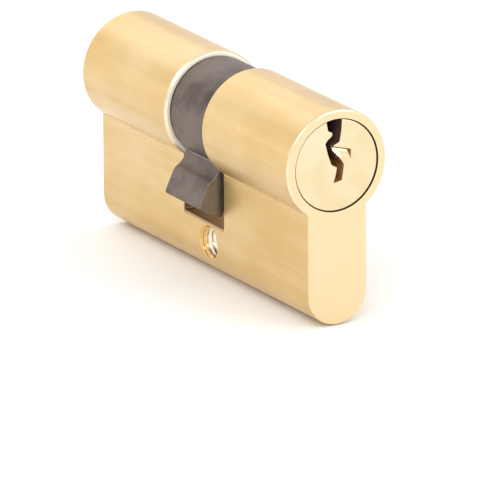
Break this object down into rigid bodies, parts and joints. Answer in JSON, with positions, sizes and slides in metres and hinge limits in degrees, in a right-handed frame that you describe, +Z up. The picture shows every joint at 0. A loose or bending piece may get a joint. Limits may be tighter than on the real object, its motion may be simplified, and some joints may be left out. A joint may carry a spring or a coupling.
{
  "type": "euro profile cylinder",
  "caption": "Double euro profile lock cylinder in brass: a keyed pin-tumbler plug in each end turns a steel cam with a lever between them.",
  "frame": {"origin": "centre of the fixing screw's hole, in the middle of the flange's width", "axes": "+X along the plugs to the front end, +Z up from the flange to the barrel, -Y the side the cam's lever leans to at rest"},
  "size_m": [0.06, 0.0174, 0.033],
  "materials": {
    "body_brass": "satin, brushed lengthwise",
    "plug_brass": "polished",
    "sintered_steel": "matte, sintered and blackened",
    "pin_brass": "turned",
    "spring_steel": "bright drawn wire",
    "clutch_steel": "plain hardened"
  },
  "bodies": {
    "case": {"housing": "body_brass", "front_pin_spring_1": "spring_steel", "front_chamber_plug_1": "body_brass", "front_pin_spring_2": "spring_steel", "front_chamber_plug_2": "body_brass", "front_pin_spring_3": "spring_steel", "front_chamber_plug_3": "body_brass", "front_pin_spring_4": "spring_steel", "front_chamber_plug_4": "body_brass", "front_pin_spring_5": "spring_steel", "front_chamber_plug_5": "body_brass", "rear_pin_spring_1": "spring_steel", "rear_chamber_plug_1": "body_brass", "rear_pin_spring_2": "spring_steel", "rear_chamber_plug_2": "body_brass", "rear_pin_spring_3": "spring_steel", "rear_chamber_plug_3": "body_brass", "rear_pin_spring_4": "spring_steel", "rear_chamber_plug_4": "body_brass", "rear_pin_spring_5": "spring_steel", "rear_chamber_plug_5": "body_brass"},
    "front_plug": {"front_plug": "plug_brass", "front_circlip": "spring_steel"},
    "rear_plug": {"rear_plug": "plug_brass", "rear_circlip": "spring_steel"},
    "cam": {"cam": "sintered_steel"},
    "front_clutch": {"front_clutch": "clutch_steel"},
    "rear_clutch": {"rear_clutch": "clutch_steel"},
    "front_key_pin_1": {"front_key_pin_1": "pin_brass"},
    "front_driver_pin_1": {"front_driver_pin_1": "pin_brass"},
    "front_key_pin_2": {"front_key_pin_2": "pin_brass"},
    "front_driver_pin_2": {"front_driver_pin_2": "pin_brass"},
    "front_key_pin_3": {"front_key_pin_3": "pin_brass"},
    "front_driver_pin_3": {"front_driver_pin_3": "pin_brass"},
    "front_key_pin_4": {"front_key_pin_4": "pin_brass"},
    "front_driver_pin_4": {"front_driver_pin_4": "pin_brass"},
    "front_key_pin_5": {"front_key_pin_5": "pin_brass"},
    "front_driver_pin_5": {"front_driver_pin_5": "pin_brass"},
    "rear_key_pin_1": {"rear_key_pin_1": "pin_brass"},
    "rear_driver_pin_1": {"rear_driver_pin_1": "pin_brass"},
    "rear_key_pin_2": {"rear_key_pin_2": "pin_brass"},
    "rear_driver_pin_2": {"rear_driver_pin_2": "pin_brass"},
    "rear_key_pin_3": {"rear_key_pin_3": "pin_brass"},
    "rear_driver_pin_3": {"rear_driver_pin_3": "pin_brass"},
    "rear_key_pin_4": {"rear_key_pin_4": "pin_brass"},
    "rear_driver_pin_4": {"rear_driver_pin_4": "pin_brass"},
    "rear_key_pin_5": {"rear_key_pin_5": "pin_brass"},
    "rear_driver_pin_5": {"rear_driver_pin_5": "pin_brass"}
  },
  "joints": [
    {"name": "front_plug_turn", "type": "hinge", "parent": "case", "child": "front_plug", "pos_m": [0, 0, 0.0189], "axis": [1, 0, 0], "continuous": true},
    {"name": "rear_plug_turn", "type": "hinge", "parent": "case", "child": "rear_plug", "pos_m": [0, 0, 0.0189], "axis": [1, 0, 0], "continuous": true},
    {"name": "cam_turn", "type": "hinge", "parent": "case", "child": "cam", "pos_m": [0, 0, 0.0189], "axis": [1, 0, 0], "continuous": true},
    {"name": "front_clutch_slide", "type": "slide", "parent": "front_plug", "child": "front_clutch", "axis": [1, 0, 0], "range_m": [0, 0.0013]},
    {"name": "rear_clutch_slide", "type": "slide", "parent": "rear_plug", "child": "rear_clutch", "axis": [1, 0, 0], "range_m": [0, 0.0013]},
    {"name": "front_key_pin_1_lift", "type": "slide", "parent": "front_plug", "child": "front_key_pin_1", "axis": [0, 0, 1], "range_m": [0, 0.0028]},
    {"name": "front_driver_pin_1_press", "type": "slide", "parent": "case", "child": "front_driver_pin_1", "axis": [0, 0, -1], "range_m": [0, 0.0025], "stiffness_N_per_m": 150, "springref_m": -0.003, "deforming": ["front_pin_spring_1"]},
    {"name": "front_key_pin_2_lift", "type": "slide", "parent": "front_plug", "child": "front_key_pin_2", "axis": [0, 0, 1], "range_m": [0, 0.0016]},
    {"name": "front_driver_pin_2_press", "type": "slide", "parent": "case", "child": "front_driver_pin_2", "axis": [0, 0, -1], "range_m": [0, 0.0025], "stiffness_N_per_m": 150, "springref_m": -0.003, "deforming": ["front_pin_spring_2"]},
    {"name": "front_key_pin_3_lift", "type": "slide", "parent": "front_plug", "child": "front_key_pin_3", "axis": [0, 0, 1], "range_m": [0, 0.0034]},
    {"name": "front_driver_pin_3_press", "type": "slide", "parent": "case", "child": "front_driver_pin_3", "axis": [0, 0, -1], "range_m": [0, 0.0025], "stiffness_N_per_m": 150, "springref_m": -0.003, "deforming": ["front_pin_spring_3"]},
    {"name": "front_key_pin_4_lift", "type": "slide", "parent": "front_plug", "child": "front_key_pin_4", "axis": [0, 0, 1], "range_m": [0, 0.001]},
    {"name": "front_driver_pin_4_press", "type": "slide", "parent": "case", "child": "front_driver_pin_4", "axis": [0, 0, -1], "range_m": [0, 0.0025], "stiffness_N_per_m": 150, "springref_m": -0.003, "deforming": ["front_pin_spring_4"]},
    {"name": "front_key_pin_5_lift", "type": "slide", "parent": "front_plug", "child": "front_key_pin_5", "axis": [0, 0, 1], "range_m": [0, 0.0022]},
    {"name": "front_driver_pin_5_press", "type": "slide", "parent": "case", "child": "front_driver_pin_5", "axis": [0, 0, -1], "range_m": [0, 0.0025], "stiffness_N_per_m": 150, "springref_m": -0.003, "deforming": ["front_pin_spring_5"]},
    {"name": "rear_key_pin_1_lift", "type": "slide", "parent": "rear_plug", "child": "rear_key_pin_1", "axis": [0, 0, 1], "range_m": [0, 0.0028]},
    {"name": "rear_driver_pin_1_press", "type": "slide", "parent": "case", "child": "rear_driver_pin_1", "axis": [0, 0, -1], "range_m": [0, 0.0025], "stiffness_N_per_m": 150, "springref_m": -0.003, "deforming": ["rear_pin_spring_1"]},
    {"name": "rear_key_pin_2_lift", "type": "slide", "parent": "rear_plug", "child": "rear_key_pin_2", "axis": [0, 0, 1], "range_m": [0, 0.0016]},
    {"name": "rear_driver_pin_2_press", "type": "slide", "parent": "case", "child": "rear_driver_pin_2", "axis": [0, 0, -1], "range_m": [0, 0.0025], "stiffness_N_per_m": 150, "springref_m": -0.003, "deforming": ["rear_pin_spring_2"]},
    {"name": "rear_key_pin_3_lift", "type": "slide", "parent": "rear_plug", "child": "rear_key_pin_3", "axis": [0, 0, 1], "range_m": [0, 0.0034]},
    {"name": "rear_driver_pin_3_press", "type": "slide", "parent": "case", "child": "rear_driver_pin_3", "axis": [0, 0, -1], "range_m": [0, 0.0025], "stiffness_N_per_m": 150, "springref_m": -0.003, "deforming": ["rear_pin_spring_3"]},
    {"name": "rear_key_pin_4_lift", "type": "slide", "parent": "rear_plug", "child": "rear_key_pin_4", "axis": [0, 0, 1], "range_m": [0, 0.001]},
    {"name": "rear_driver_pin_4_press", "type": "slide", "parent": "case", "child": "rear_driver_pin_4", "axis": [0, 0, -1], "range_m": [0, 0.0025], "stiffness_N_per_m": 150, "springref_m": -0.003, "deforming": ["rear_pin_spring_4"]},
    {"name": "rear_key_pin_5_lift", "type": "slide", "parent": "rear_plug", "child": "rear_key_pin_5", "axis": [0, 0, 1], "range_m": [0, 0.0022]},
    {"name": "rear_driver_pin_5_press", "type": "slide", "parent": "case", "child": "rear_driver_pin_5", "axis": [0, 0, -1], "range_m": [0, 0.0025], "stiffness_N_per_m": 150, "springref_m": -0.003, "deforming": ["rear_pin_spring_5"]}
  ],
  "couplings": [
    {"joint": "cam_turn", "follows": "front_plug_turn", "ratio": 1},
    {"joint": "rear_clutch_slide", "follows": "front_clutch_slide", "ratio": 1}
  ]
}
